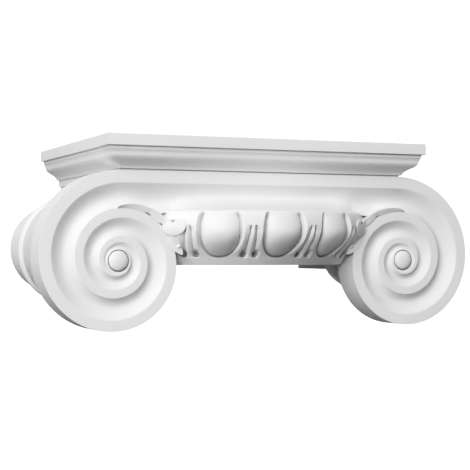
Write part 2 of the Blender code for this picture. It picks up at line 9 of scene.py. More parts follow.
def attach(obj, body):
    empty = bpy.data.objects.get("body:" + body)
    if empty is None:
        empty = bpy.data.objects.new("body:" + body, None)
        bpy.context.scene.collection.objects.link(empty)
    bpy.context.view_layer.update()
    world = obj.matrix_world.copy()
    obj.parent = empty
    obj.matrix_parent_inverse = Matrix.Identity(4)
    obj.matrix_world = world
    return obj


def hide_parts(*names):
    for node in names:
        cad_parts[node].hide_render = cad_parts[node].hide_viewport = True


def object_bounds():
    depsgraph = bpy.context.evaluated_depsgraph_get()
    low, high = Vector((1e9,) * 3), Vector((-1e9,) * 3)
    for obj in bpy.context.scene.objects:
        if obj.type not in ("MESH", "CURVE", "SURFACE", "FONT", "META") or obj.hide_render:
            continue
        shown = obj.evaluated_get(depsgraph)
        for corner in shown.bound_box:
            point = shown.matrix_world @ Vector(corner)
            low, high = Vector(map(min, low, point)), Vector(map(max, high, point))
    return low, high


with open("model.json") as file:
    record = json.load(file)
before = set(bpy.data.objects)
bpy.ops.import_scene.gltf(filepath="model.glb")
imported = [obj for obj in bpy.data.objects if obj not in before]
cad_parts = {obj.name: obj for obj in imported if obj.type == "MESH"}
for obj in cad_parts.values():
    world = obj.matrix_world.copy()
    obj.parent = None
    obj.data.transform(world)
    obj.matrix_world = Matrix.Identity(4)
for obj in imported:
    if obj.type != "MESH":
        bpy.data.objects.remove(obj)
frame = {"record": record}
cad_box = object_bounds()

# The wall face is Y = 0. Heights inside a form are counted from the shaft seat.
mounts = {mount["name"]: mount["pos_m"] for mount in frame["record"]["mounts"]}
SEAT_Z = mounts["shaft_seat"][2]
ABACUS_TOP = mounts["top_bed"][2] - SEAT_Z

# Abacus, the slab on top
ABACUS_WIDTH = 0.344
ABACUS_DEPTH = 0.252
FASCIA_HEIGHT = 0.0114
FASCIA_EDGE = 0.0007
SOFFIT_WIDTH = 0.0033
OGEE_HEIGHT = 0.0190
OGEE_PROJECTION = 0.0151
FILLET_HEIGHT = 0.0016
FILLET_GROOVE = 0.0022
# Inset and drop of the points down the moulding, as shares of its whole size
MOULDING = (
    (0.0, 0.0), (0.0, 0.145), (0.03, 0.165), (0.10, 0.25), (0.125, 0.31), (0.14, 0.39),
    (0.17, 0.45), (0.22, 0.505), (0.29, 0.56), (0.38, 0.61), (0.49, 0.655), (0.60, 0.70),
    (0.70, 0.745), (0.79, 0.79), (0.87, 0.84), (0.93, 0.89), (0.97, 0.94), (1.0, 1.0),
)

# Front plate and its two volutes
FACE_SETBACK = 0.0194
PLATE_THICKNESS = 0.033
EYE_SPACING = 0.311
EYE_ABOVE_SEAT = 0.0048
VOLUTE_RADIUS = 0.087
VOLUTE_TURNS = 3
VOLUTE_TIGHTENING = 1.6
EYE_RADIUS = 0.0106
EYE_GROOVE = 0.0025
EYE_RISE = 0.004
RIM_WIDTH = 0.0124
RIM_THINNING = 0.6
RIM_SHARE_LIMIT = 0.55
TROUGH_SLOPE = 0.35
TROUGH_ROUNDING = 0.8
TROUGH_LEAN = 1.4
CHANNEL_SLOPE = 0.45
CHANNEL_SWEEP = 3.2
LEDGE_SETTLING = 3
SOFT_EDGE = 0.0006

# Echinus, the round cushion under the channel
ECHINUS_CENTRE_DEPTH = 0.122
ECHINUS_RADIUS = 0.1555
ECHINUS_BULGE = 0.663
ECHINUS_COVE = 1.1
LIP_INSET = 0.0055
LIP_HEIGHT = 0.0535
LIP_FADE = 0.14
ECHINUS_FOOT_RADIUS = 0.1385
ECHINUS_FOOT_HEIGHT = 0.0070
SEAT_RADIUS = 0.1335
ECHINUS_LEAN = 0.0060
LEAN_HEIGHT = 0.036

# Egg-and-dart band, whose widths are angles round the echinus
EGG_PITCH = math.radians(24)
EGG_HALF_WIDTH = math.radians(7.1)
EGG_TOP_NARROWING = 0.2
EGG_NARROWING_SWEEP = 2.5
EGG_LIP_CROWDING = 1.6
EGG_RISE = 0.0042
EGG_FADE = 0.75
EGG_ROUNDNESS = 2.2
EGG_SHOULDER = 0.536
EGG_FOOT = 0.03
EGG_FULLNESS = 0.87
CUP_DEPTH = 0.0058
CUP_FLOOR_LEVEL = 1.05
CUP_LEVEL = 1.24
CUP_FOOT_SHARE = 0.7
CUP_SWEEP = 0.8
DART_SINK = 0.0016
DART_GROOVE = 0.0020
DART_GROOVE_HALF_WIDTH = math.radians(0.45)
DART_TOP = 0.642
DART_HALF_WIDTH = math.radians(1.3)
DART_FOOT_WIDENING = 1.5
DART_TOP_WIDENING = 0.8
DART_TOP_FADE = 0.03
DART_FOOT_FADE = 0.10
DENT_REACH = 1.3
PIT_DEPTH = 0.009
PIT_SPREAD = math.radians(2.5)
PIT_RADIUS = 0.0034
PIT_SHARE = 0.085
NICK_DEPTH = 0.0025
NICK_SPREAD = math.radians(1.0)
NICK_RADIUS = 0.0016
EGG_CELLS = 2.5
EGG_COUNT = 2

# Bolsters, the cushions that run back from the volutes
BOLSTER_SPACING = 0.3608
BOLSTER_ABOVE_SEAT = 0.0161
BOLSTER_RADIUS = 0.0443
NECK_LENGTH = 0.0626
NECK_DISC_SHARE = 0.33
NECK_TUCK = 0.0022
NECK_SWEEP = 1.3
RIDGE_WIDTH = 0.0125
RIDGE_RISE = 0.0042
RIDGE_CREST = 0.74
BAND_DISC_SHARE = 0.285
BAND_TUCK = 0.0024
BAND_GROOVE = 0.0012
BAND_LENGTH = 0.0445
DISC_STEP = 0.0004
DISC_OPENING = 0.82

# Plain block behind, which meets the wall
BODY_WIDTH = 0.298
BODY_ABOVE_SEAT = 0.004
REAR_BLOCK_INNER = 0.1463
REAR_BLOCK_OUTER = 0.190
REAR_BLOCK_DROP = 0.0069
REAR_BLOCK_TOP = 0.045

# Leaf sprig in the corner between volute and echinus: a ribbon that ends in a scroll
RIBBON_START_TURN = 1.003
RIBBON_END_TURN = 0.847
RIBBON_WIDTH = 0.0082
RIBBON_SWELL = 0.6
RIBBON_LIFT = 0.0030
RIBBON_LOW_SIDE = 0.1
SCROLL_LOW_SIDE = 0.75
RIBBON_SINK = 0.0006
RIBBON_EDGE_DROP = 0.15
RIBBON_EDGE_SHARPNESS = 12
RIBBON_GAP = 0.0009
RIBBON_GAP_TURNS = (0.906, 0.853)
RIBBON_GAP_HALF_TURN = 0.012
SCROLL_X = 0.1018
SCROLL_ABOVE_SEAT = 0.0378
SCROLL_RADIUS = 0.0097
SCROLL_TIGHTENING = 0.0009
SCROLL_SWEEP = math.radians(320)
SCROLL_ONSET = 0.4
SCROLL_CLOSING = 0.72
SCROLL_EYE_X = 0.1027
SCROLL_EYE_ABOVE_SEAT = 0.0424
SCROLL_EYE_RADIUS = 0.0017
SCROLL_EYE_DEPTH = 0.0045
SCROLL_EYE_BORDER = 1.3
SPRIG_ROOT = 0.030
LEAFLET_STEM_X = 0.1065
LEAFLET_STEM_ABOVE_SEAT = 0.0285
LEAFLET_TIP_X = 0.0900
LEAFLET_TIP_ABOVE_SEAT = 0.0105
LEAFLET_HALF_WIDTH = 0.0052
LEAFLET_LIFT = 0.0010
LEAFLET_SWELL = 0.8
LEAFLET_END = 0.08
LEAFLET_END_LIFT = 0.25
LEAFLET_VEIN = 0.25
LEAFLET_VEIN_SHARPNESS = 3
LEAFLET_EDGE_LIFT = 0.5
HOOK_PLACE = (0.0945, 0.0187)
HOOK_RADIUS = 0.0022

# Fineness of the mesh, where RIM_POINTS are the points across a coil's flat rim
RIM_POINTS = 4
SPIRAL_STEPS = 128
SEAM_STEPS = 12
CHANNEL_COLUMNS = 72
TROUGH_POINTS = 18
DOME_POINTS = 8
EGG_SIDE_STEPS = 18
EGG_ARC_STEPS = 28
EGG_LEVELS = 12
CUP_STEPS = 4
SLOPE_STEPS = 14
FLANK_STEPS = 16
NECK_STEPS = 12
RIBBON_STEPS = 24
RIBBON_POINTS = 10
SCROLL_STEPS = 56
LEAF_STEPS = 20
HOOK_SEGMENTS = 20
HOOK_RINGS = 12
OVERLAP = 0.006
SHARP_ANGLE = math.radians(38)
MERGE_DISTANCE = 0.000002
MIRROR_MERGE = 0.00001

# Satin primer: two whites of its clouds, its fine bump, and painted shade that darkens the
# crevices
CLOUD_DARK = (0.84, 0.84, 0.835, 1.0)
CLOUD_LIGHT = (0.88, 0.88, 0.88, 1.0)
CLOUD_RANGE = (0.3, 0.7)
CLOUD_SCALE = 14.0
PRIMER_ROUGHNESS = 0.5
PRIMER_SHINE = 0.35
PEEL_SCALE = 900.0
PEEL_STRENGTH = 0.08
PEEL_DEPTH = 0.0002
# Reach, range, tone and samples of the painted shade in crevices
CREVICE_SHADE_REACH = 0.009
CREVICE_SHADE_RANGE = (0.22, 0.66)
CREVICE_SHADE_TONE = 0.6
CREVICE_SHADE_SAMPLES = 8

# Camera
CAMERA_PLACE = (-0.5231, -1.388, -0.049)
CAMERA_TURN = math.radians(-22.9)
CAMERA_LIFT = math.radians(0.745)
CAMERA_LENS = 97.2
SENSOR_WIDTH = 36.0

# Studio: each light's place, size and power, the grey sky by height, and the view's curve
LIGHT_TARGET = (0.0, -0.15, 0.0)
LIGHTS = {
    "key": ((-1.74, -2.08, 1.55), (1.4, 1.4), 46.0),
    "fill": ((-1.70, -2.60, 0.40), (1.4, 0.5), 34.0),
    "side": ((-2.60, -0.60, 0.10), (1.0, 0.8), 12.0),
}
SKY_STOPS = ((0.55, 0.07), (0.62, 0.45), (1.0, 0.55))
BACKDROP_EDGE = (0.950, 0.960)
BACKDROP_LEVEL = 1.6
FLOOR_RADIUS = 0.5
FLOOR_DROP = 0.9
FLOOR_Y = -0.1
FLOOR_LEVEL = 0.45
FLOOR_ROUGHNESS = 0.8
VIEW_CURVE = ((0.03, 0.015), (0.12, 0.085), (0.3, 0.27), (0.6, 0.6), (0.82, 0.77))
VIEW_END = (1.0, 0.88)

# Sizes that follow from the ones above
EYE_X = EYE_SPACING / 2
BOLSTER_X = BOLSTER_SPACING / 2
PLATE_TOP = EYE_ABOVE_SEAT + VOLUTE_RADIUS
FACE_Y = FACE_SETBACK - ABACUS_DEPTH
PLATE_BACK_Y = FACE_Y + PLATE_THICKNESS
RIDGE_Y = PLATE_BACK_Y + NECK_LENGTH
BAND_Y = RIDGE_Y + RIDGE_WIDTH
BAND_END_Y = BAND_Y + BAND_LENGTH
BAND_RANGE = LIP_HEIGHT - ECHINUS_FOOT_HEIGHT
TURN = 2 * math.pi
SPIRAL_ANGLE = TURN * VOLUTE_TURNS


def new_object(name, builder):
    """Turn a bmesh into an object whose heights are counted from the shaft seat."""
    bmesh.ops.remove_doubles(builder, verts=builder.verts, dist=MERGE_DISTANCE)
    bmesh.ops.recalc_face_normals(builder, faces=builder.faces)
    mesh = bpy.data.meshes.new(name)
    builder.to_mesh(mesh)
    builder.free()
    mesh.transform(Matrix.Translation((0, 0, SEAT_Z)))
    thing = bpy.data.objects.new(name, mesh)
    bpy.context.collection.objects.link(thing)
    return thing


def apply_modifiers(thing):
    """Replace the object's mesh by the one its modifiers give."""
    graph = bpy.context.evaluated_depsgraph_get()
    mesh = bpy.data.meshes.new_from_object(thing.evaluated_get(graph))
    thing.modifiers.clear()
    thing.data = mesh


def mirror_across_middle(thing):
    mirror = thing.modifiers.new("Mirror", "MIRROR")
    mirror.use_axis = (True, False, False)
    mirror.merge_threshold = MIRROR_MERGE


def fill_strip(builder, first, second):
    """Fill the band between two rows of vertices, where equal corners fall together."""
    for corners in zip(first, first[1:], second[1:], second):
        different = list(dict.fromkeys(corners))
        if len(different) > 2:
            builder.faces.new(different)


def closed(row):
    return row + row[:1]


def smooth_step(share):
    share = min(max(share, 0.0), 1.0)
    return share * share * (3 - 2 * share)


def mix(first, second, share):
    return first + (second - first) * share


def rounded_shares(count):
    """Shares from 0 to 1, closer together near both ends."""
    return [0.5 - 0.5 * math.cos(math.pi * step / count) for step in range(count + 1)]


def spiral_radius(angle):
    """Radius of the volute's outer edge, once it has turned by angle from its top."""
    left = max(1 - angle / SPIRAL_ANGLE, 0.0)
    return mix(EYE_RADIUS, VOLUTE_RADIUS, left ** VOLUTE_TIGHTENING)


def around_eye(angle, radius):
    """X and height of a point of the right volute, with angle zero at its top."""
    return EYE_X + radius * math.sin(angle), EYE_ABOVE_SEAT + radius * math.cos(angle)


def trough_depth(share, width):
    """Depth of the hollow between two rims, at a share of its width."""
    hollow = max(math.sin(math.pi * share ** TROUGH_LEAN), 0.0)
    return TROUGH_SLOPE * width * hollow ** TROUGH_ROUNDING


def coil_section(angle):
    """Radius and depth of each point from the outer edge of a coil to the next one."""
    outer = spiral_radius(angle)
    inner = max(spiral_radius(angle + TURN), EYE_RADIUS)
    left = max(1 - angle / SPIRAL_ANGLE, 0.0)
    rim = min(RIM_WIDTH * left ** RIM_THINNING, RIM_SHARE_LIMIT * (outer - inner))
    width = outer - rim - inner
    edge = min(SOFT_EDGE, rim / 4, width / 6)
    points = [(outer - edge / 4, edge / 4), (outer - edge, 0.0)]
    points += [(outer - rim + edge, 0.0), (outer - rim + edge / 4, edge / 4)]
    for share in rounded_shares(TROUGH_POINTS)[1:-1]:
        points.append((outer - rim - share * width, edge / 4 + trough_depth(share, width)))
    return points


def add_volute(builder):
    """Coiled face of the right volute. Gives its outer edge and its first section."""
    steps = SPIRAL_STEPS
    last = steps * VOLUTE_TURNS
    outer = []
    middle = []
    for step in range(last + 1):
        angle = TURN * step / steps
        section = []
        for radius, depth in coil_section(angle):
            x, z = around_eye(angle, radius)
            section.append((x, FACE_Y + depth, z))
        outer.append(builder.verts.new(section[0]))
        if step < last:
            middle.append([builder.verts.new(point) for point in section[1:]])
    middle.append([outer[last]] * len(middle[0]))

    socket = [outer[last]]
    for step in range(1, steps):
        x, z = around_eye(TURN * step / steps, EYE_RADIUS)
        socket.append(builder.verts.new((x, FACE_Y, z)))

    rows = []
    for step in range(last + 1):
        if step + steps <= last:
            end = outer[step + steps]
        else:
            end = socket[(step + steps - last) % steps]
        rows.append([outer[step]] + middle[step] + [end])
    for first, second in zip(rows, rows[1:]):
        fill_strip(builder, first, second)
    add_eye(builder, socket)
    return outer, rows[0]


def add_eye(builder, socket):
    """Domed eye that stands in a narrow groove inside the last coil."""
    ring = socket
    dome = EYE_RADIUS - EYE_GROOVE / 3
    profile = [(EYE_RADIUS - EYE_GROOVE / 8, EYE_GROOVE), (dome, EYE_GROOVE)]
    for step in range(1, DOME_POINTS):
        rise = math.pi / 2 * step / DOME_POINTS
        profile.append((dome * math.cos(rise), -EYE_RISE * math.sin(rise)))
    for radius, depth in profile:
        inner = []
        for step in range(SPIRAL_STEPS):
            x, z = around_eye(TURN * step / SPIRAL_STEPS, radius)
            inner.append(builder.verts.new((x, FACE_Y + depth, z)))
        fill_strip(builder, closed(ring), closed(inner))
        ring = inner
    top = builder.verts.new((EYE_X, FACE_Y - EYE_RISE, EYE_ABOVE_SEAT))
    fill_strip(builder, closed(ring), [top] * (SPIRAL_STEPS + 1))


def ledge_y(x):
    """Front of the channel's ledge, which runs into the round echinus."""
    radius = ECHINUS_RADIUS - LIP_INSET - SOFT_EDGE
    if abs(x) >= radius:
        return FACE_Y
    return min(FACE_Y, -ECHINUS_CENTRE_DEPTH - math.sqrt(radius ** 2 - x * x))


def channel_section(x, bottom, first_section):
    """Points down one column of the channel, from the plate's top to above its ledge."""
    sweep = FACE_Y - ledge_y(x)
    points = [(x, y, z) for _, y, z in first_section[:RIM_POINTS]]
    rim = points[-1][2]
    width = rim - bottom
    blend = smooth_step(sweep / width)
    for share in rounded_shares(TROUGH_POINTS)[1:-1]:
        even = CHANNEL_SLOPE * width * math.sin(math.pi * share)
        hollow = mix(trough_depth(share, width), even, blend)
        y = FACE_Y + SOFT_EDGE / 4 + hollow - sweep * share ** CHANNEL_SWEEP
        points.append((x, y, rim - share * width))
    return points


def add_channel(builder, outer, first_row):
    """Channel from the volute to the middle. Gives its upper and its lower edge."""
    first_section = [tuple(vertex.co) for vertex in first_row]
    ledge = LIP_HEIGHT - SOFT_EDGE / 2
    bottoms = [outer[SPIRAL_STEPS - step] for step in range(1, SEAM_STEPS + 1)]
    start = bottoms[-1].co.copy()
    for column in range(1, CHANNEL_COLUMNS + 1):
        share = column / CHANNEL_COLUMNS
        x = start.x * (1 - share)
        z = mix(start.z, ledge, smooth_step(share * LEDGE_SETTLING))
        bottoms.append(builder.verts.new((x, ledge_y(x), z)))
    rows = [first_row]
    for bottom in bottoms:
        section = channel_section(bottom.co.x, bottom.co.z, first_section)
        rows.append([builder.verts.new(point) for point in section] + [bottom])
    for first, second in zip(rows, rows[1:]):
        fill_strip(builder, first, second)
    upper = [row[0] for row in reversed(rows)]
    lower = [row[-1] for row in rows[SEAM_STEPS:]]
    return upper, lower


def make_plate():
    """Front plate: the channel between the volutes, and the volutes as thick discs."""
    builder = bmesh.new()
    outer, first_row = add_volute(builder)
    upper, lower = add_channel(builder, outer, first_row)
    edge = upper + outer[1:SPIRAL_STEPS - SEAM_STEPS] + lower
    back = [builder.verts.new((v.co.x, PLATE_BACK_Y, v.co.z)) for v in edge]
    fill_strip(builder, edge, back)
    builder.faces.new(back)
    plate = new_object("plate", builder)
    mirror_across_middle(plate)
    return plate


def abacus_profile():
    """Inset and height of each corner of the slab's edge, from its top to its foot."""
    under = ABACUS_TOP - FASCIA_HEIGHT
    edge = FASCIA_EDGE / 3
    profile = [(FASCIA_EDGE, ABACUS_TOP), (edge, ABACUS_TOP - edge)]
    profile += [(0.0, ABACUS_TOP - FASCIA_EDGE), (0.0, under + FASCIA_EDGE)]
    profile += [(edge, under + edge), (FASCIA_EDGE, under)]
    drop = OGEE_HEIGHT + FILLET_HEIGHT
    for across, down in MOULDING:
        profile.append((SOFFIT_WIDTH + OGEE_PROJECTION * across, under - drop * down))
    inset = SOFFIT_WIDTH + OGEE_PROJECTION + FILLET_GROOVE
    profile.append((inset, under - drop))
    profile.append((inset, PLATE_TOP - OVERLAP))
    return profile


def make_abacus():
    """Slab with a fascia over an ogee, mitred at the front and cut flat at the wall."""
    half = ABACUS_WIDTH / 2
    builder = bmesh.new()
    rings = []
    for inset, z in abacus_profile():
        x = half - inset
        front = inset - ABACUS_DEPTH
        corners = ((-x, 0), (-x, front), (x, front), (x, 0))
        rings.append([builder.verts.new((cx, cy, z)) for cx, cy in corners])
    for first, second in zip(rings, rings[1:]):
        fill_strip(builder, first, second)
    builder.faces.new(rings[0])
    builder.faces.new(rings[-1])
    builder.faces.new([ring[0] for ring in rings] + [ring[-1] for ring in reversed(rings)])
    return new_object("abacus", builder)


def web_radius(share):
    """Radius of the band between the eggs, at a share of the band's height."""
    if share <= ECHINUS_BULGE:
        bulge = math.sin(math.pi / 2 * max(share, 0.0) / ECHINUS_BULGE)
        return mix(ECHINUS_FOOT_RADIUS, ECHINUS_RADIUS, bulge ** ECHINUS_COVE)
    rest = min((share - ECHINUS_BULGE) / (1 - ECHINUS_BULGE), 1.0)
    return ECHINUS_RADIUS - LIP_INSET * (1 - math.sqrt(1 - rest ** 2))


def echinus_point(angle, share, relief):
    """Point of the band at an angle from the front and a share of the band's height."""
    radius = web_radius(share) + relief
    return ring_point(angle, radius, mix(ECHINUS_FOOT_HEIGHT, LIP_HEIGHT, share))


def centre_y(height):
    """Depth of the echinus' centre, which leans back towards its foot."""
    return ECHINUS_LEAN * smooth_step(1 - height / LEAN_HEIGHT) - ECHINUS_CENTRE_DEPTH


def ring_point(angle, radius, height):
    x = radius * math.sin(angle)
    return x, centre_y(height) - radius * math.cos(angle), height


def side_shares():
    """Shares of the height down the straight side of an egg, closer near the lip."""
    steps = range(EGG_SIDE_STEPS)
    shares = [(step / EGG_SIDE_STEPS) ** EGG_LIP_CROWDING for step in steps]
    return [mix(1.0, EGG_SHOULDER, share) for share in shares]


def egg_path(level):
    """Half of a U-shaped line round an egg, from the lip down to under the egg.

    Level 1 is the egg's own edge. Each point is an angle and a share of the height.
    """
    width = level * EGG_HALF_WIDTH
    drop = EGG_SHOULDER - EGG_FOOT
    if level > 1:
        drop += EGG_FOOT * CUP_FOOT_SHARE * (level - 1) / (CUP_LEVEL - 1)
    else:
        drop *= level
    points = []
    for share in side_shares():
        above = (share - EGG_SHOULDER) / (1 - EGG_SHOULDER)
        narrowing = EGG_TOP_NARROWING * above ** EGG_NARROWING_SWEEP
        points.append((width * (1 - narrowing), share))
    for step in range(EGG_ARC_STEPS + 1):
        arc = math.pi / 2 * step / EGG_ARC_STEPS
        across = max(math.cos(arc), 0.0) ** EGG_FULLNESS
        points.append((width * across, EGG_SHOULDER - drop * math.sin(arc) ** EGG_FULLNESS))
    return points


def cell_border():
    """Edge of one egg's cell, matched point by point to the lines round the egg."""
    side = EGG_PITCH / 2
    points = [(side, share) for share in side_shares()]
    for step in range(EGG_ARC_STEPS + 1):
        share = 2 * step / EGG_ARC_STEPS
        if share <= 1:
            points.append((side, EGG_SHOULDER * (1 - share)))
        else:
            points.append((side * (2 - share), 0.0))
    return points


def lip_fade(share):
    """How much of the carving is left, since it dies out under the lip."""
    return smooth_step((1 - share) / LIP_FADE)


def egg_relief(level, share):
    """Height of the egg over the web, which it meets flush under the lip."""
    floor = -CUP_DEPTH * lip_fade(share)
    peak = EGG_RISE * smooth_step((1 - share) / EGG_FADE)
    return mix(floor, peak, math.sqrt(max(1 - level ** EGG_ROUNDNESS, 0.0)))


def dent(angle_left, share, spread, place, radius):
    """Strength of a round dent, on either side of a dart's middle."""
    across = (angle_left - spread) * ECHINUS_RADIUS
    up = (share - place) * BAND_RANGE
    return smooth_step(DENT_REACH - math.hypot(across, up) / radius)


def dart_relief(angle_left, share):
    """Height of the hollow between two cups, at an angle from the dart's middle."""
    sunk = smooth_step((DART_TOP - share) / DART_TOP_FADE) * smooth_step(share / DART_FOOT_FADE)
    half = DART_HALF_WIDTH * mix(DART_FOOT_WIDENING, DART_TOP_WIDENING, share / DART_TOP)
    trench = EGG_PITCH / 2 - CUP_LEVEL * EGG_HALF_WIDTH
    from_edge = abs(angle_left - half) / DART_GROOVE_HALF_WIDTH
    hollow = DART_GROOVE * sunk * max(1 - from_edge, 0.0)
    if angle_left > half:
        slope = 1 - (angle_left - half) / (trench - half)
        hollow += DART_SINK * sunk * min(max(slope, 0.0), 1.0)
    else:
        hollow += DART_SINK * sunk * angle_left / half
    hollow += PIT_DEPTH * dent(angle_left, share, PIT_SPREAD, PIT_SHARE, PIT_RADIUS)
    return -hollow - NICK_DEPTH * dent(angle_left, share, NICK_SPREAD, DART_TOP, NICK_RADIUS)


def egg_rows(strength):
    """Rows of points from an egg's spine out to the middle of the next dart.

    Strength 1 carves the egg and its cup, and strength 0 leaves them plain.
    """
    rows = []
    for step in range(EGG_LEVELS + 1):
        level = math.sin(math.pi / 2 * step / EGG_LEVELS)
        rows.append([(a, s, strength * egg_relief(level, s)) for a, s in egg_path(level)])
    for step in range(CUP_STEPS + 1):
        share = step / CUP_STEPS
        row = []
        for a, s in egg_path(mix(CUP_FLOOR_LEVEL, CUP_LEVEL, share)):
            depth = CUP_DEPTH * lip_fade(s) * (1 - share ** CUP_SWEEP)
            row.append((a, s, -strength * depth))
        rows.append(row)
    ridge = egg_path(CUP_LEVEL)
    border = cell_border()
    for step in range(1, SLOPE_STEPS + 1):
        part = step / SLOPE_STEPS
        row = []
        for (a, s), (border_a, border_s) in zip(ridge, border):
            angle = mix(a, border_a, part)
            height = mix(s, border_s, part)
            row.append((angle, height, dart_relief(EGG_PITCH / 2 - angle, height)))
        rows.append(row)
    return rows


def foot_profile():
    """Radius and height of the echinus' foot, which slopes in to the shaft's seat."""
    return (SEAT_RADIUS + SOFT_EDGE / 3, SOFT_EDGE), (SEAT_RADIUS - SOFT_EDGE / 2, 0.0)


def add_half_egg(builder, centre, side, strength):
    """One side of an egg with its cup and half a dart. Gives its border vertices."""
    vertices = []
    for row in egg_rows(strength):
        points = [echinus_point(centre + side * a, s, relief) for a, s, relief in row]
        vertices.append([builder.verts.new(point) for point in points])
    for first, second in zip(vertices, vertices[1:]):
        fill_strip(builder, first, second)
    border = vertices[-1]
    corner = EGG_SIDE_STEPS + EGG_ARC_STEPS // 2
    angles = [centre + side * a for a, s in cell_border()[corner:]]
    foot = border[corner:]
    for radius, height in foot_profile():
        lower = [builder.verts.new(ring_point(a, radius, height)) for a in angles]
        fill_strip(builder, foot, lower)
        foot = lower
    return border[:corner + 1]


def add_column(builder, angle, middle):
    """Column of vertices down the echinus, with the given ones on its band."""
    below = [ring_point(angle, *corner) for corner in foot_profile()]
    return middle + [builder.verts.new(point) for point in below]


def add_flank(builder, edge):
    """Plain side of the echinus, from the last egg to the side and on to the wall."""
    shares = [(vertex.co.z - ECHINUS_FOOT_HEIGHT) / BAND_RANGE for vertex in edge]
    start = EGG_PITCH * EGG_CELLS
    column = add_column(builder, start, edge)
    for step in range(1, FLANK_STEPS + 1):
        angle = mix(start, math.pi / 2, step / FLANK_STEPS)
        points = [echinus_point(angle, share, 0.0) for share in shares]
        middle = [builder.verts.new(point) for point in points]
        following = add_column(builder, angle, middle)
        fill_strip(builder, column, following)
        column = following
    wall = [builder.verts.new((v.co.x, 0.0, v.co.z)) for v in column]
    fill_strip(builder, column, wall)
    return wall


def make_echinus():
    """Round cushion with the egg-and-dart band, flat below where the shaft seats."""
    builder = bmesh.new()
    sides = [(0, 1)]
    for cell in range(1, math.ceil(EGG_CELLS)):
        sides += [(cell, -1), (cell, 1)]
    for cell, side in sides:
        strength = 1 if cell < EGG_COUNT else 0
        border = add_half_egg(builder, cell * EGG_PITCH, side, strength)
    wall = add_flank(builder, border)
    middle_top = builder.verts.new((0.0, 0.0, LIP_HEIGHT))
    middle_foot = builder.verts.new((0.0, 0.0, 0.0))
    builder.faces.new(wall + [middle_foot, middle_top])
    bmesh.ops.remove_doubles(builder, verts=builder.verts, dist=MERGE_DISTANCE)
    for height in (LIP_HEIGHT, 0.0):
        cap_level(builder, height)
    echinus = new_object("echinus", builder)
    mirror_across_middle(echinus)
    return echinus


def cap_level(builder, height):
    """Close the open edge that lies at one height, apart from the middle plane."""
    edges = []
    for edge in builder.edges:
        level = all(abs(v.co.z - height) < MIRROR_MERGE for v in edge.verts)
        if level and len(edge.link_faces) == 1:
            edges.append(edge)
    builder.faces.new(ordered_chain(edges))


def ordered_chain(edges):
    """Vertices of an open chain of edges, in order."""
    links = {}
    for edge in edges:
        first, second = edge.verts
        links.setdefault(first, []).append(second)
        links.setdefault(second, []).append(first)
    start = next(vertex for vertex, ends in links.items() if len(ends) == 1)
    chain = [start]
    while True:
        following = [v for v in links[chain[-1]] if v not in chain[-2:]]
        if not following:
            return chain
        chain.append(following[0])


def disc_outline(angle):
    """X and height of the volute's outline, closed where it opens into the channel."""
    opening = DISC_OPENING * TURN
    radius = spiral_radius(min(angle, opening))
    if angle > opening:
        rest = (angle - opening) / (TURN - opening)
        radius = mix(radius, VOLUTE_RADIUS, smooth_step(rest))
    return around_eye(angle, radius)


def bolster_ring(builder, y, disc_share, tuck):
    """Ring between a circle (share 0) and the volute's outline (1), tucked in a little."""
    ring = []
    for step in range(SPIRAL_STEPS):
        angle = TURN * step / SPIRAL_STEPS
        disc_x, disc_z = disc_outline(angle)
        side, up = math.sin(angle), math.cos(angle)
        x = mix(BOLSTER_X + BOLSTER_RADIUS * side, disc_x, disc_share) - tuck * side
        z = mix(BOLSTER_ABOVE_SEAT + BOLSTER_RADIUS * up, disc_z, disc_share) - tuck * up
        ring.append(builder.verts.new((x, y, z)))
    return ring


def bolster_profile():
    """Depth, share of the volute's outline and tuck along one bolster."""
    profile = [(PLATE_BACK_Y - OVERLAP, 1.0, DISC_STEP)]
    for step in range(NECK_STEPS + 1):
        share = step / NECK_STEPS
        disc_share = mix(NECK_DISC_SHARE, 1.0, (1 - share) ** NECK_SWEEP)
        y = mix(PLATE_BACK_Y, RIDGE_Y, share)
        profile.append((y, disc_share, mix(DISC_STEP, NECK_TUCK, share)))
    low = BAND_TUCK + BAND_GROOVE
    for step in range(1, NECK_STEPS):
        share = 0.5 - 0.5 * math.cos(math.pi * step / NECK_STEPS)
        disc_share = mix(NECK_DISC_SHARE, BAND_DISC_SHARE, share)
        rise = min(share / RIDGE_CREST, (1 - share) / (1 - RIDGE_CREST))
        tuck = mix(NECK_TUCK, low, share) - RIDGE_RISE * math.sin(math.pi / 2 * rise)
        profile.append((mix(RIDGE_Y, BAND_Y, share), disc_share, tuck))
    profile.append((BAND_Y, BAND_DISC_SHARE, low))
    profile.append((BAND_Y + BAND_GROOVE / 2, BAND_DISC_SHARE, low - BAND_GROOVE / 3))
    for step in range(NECK_STEPS + 1):
        share = step / NECK_STEPS
        y = mix(BAND_Y + BAND_GROOVE, BAND_END_Y - BAND_GROOVE, share)
        profile.append((y, BAND_DISC_SHARE * (1 - share), BAND_TUCK * (1 - share)))
    profile.append((BAND_END_Y, 0.0, BAND_GROOVE))
    return profile


def make_bolsters():
    """Cushions that shrink from the discs to a neck and end in a ridge and a band."""
    builder = bmesh.new()
    rings = [bolster_ring(builder, *station) for station in bolster_profile()]
    for first, second in zip(rings, rings[1:]):
        fill_strip(builder, closed(first), closed(second))
    builder.faces.new(rings[0])
    builder.faces.new(rings[-1])
    bolsters = new_object("bolsters", builder)
    mirror_across_middle(bolsters)
    return bolsters


def add_box(builder, low, high):
    size = [h - l for l, h in zip(low, high)]
    centre = [(l + h) / 2 for l, h in zip(low, high)]
    matrix = Matrix.Translation(centre) @ Matrix.Diagonal((*size, 1.0))
    bmesh.ops.create_cube(builder, size=1.0, matrix=matrix)


def make_body():
    """Plain block that fills the capital behind its front plate, flat at the wall."""
    builder = bmesh.new()
    half = BODY_WIDTH / 2
    low = (-half, PLATE_BACK_Y - OVERLAP, BODY_ABOVE_SEAT)
    add_box(builder, low, (half, 0.0, PLATE_TOP - OVERLAP / 2))
    return new_object("capital_cast", builder)


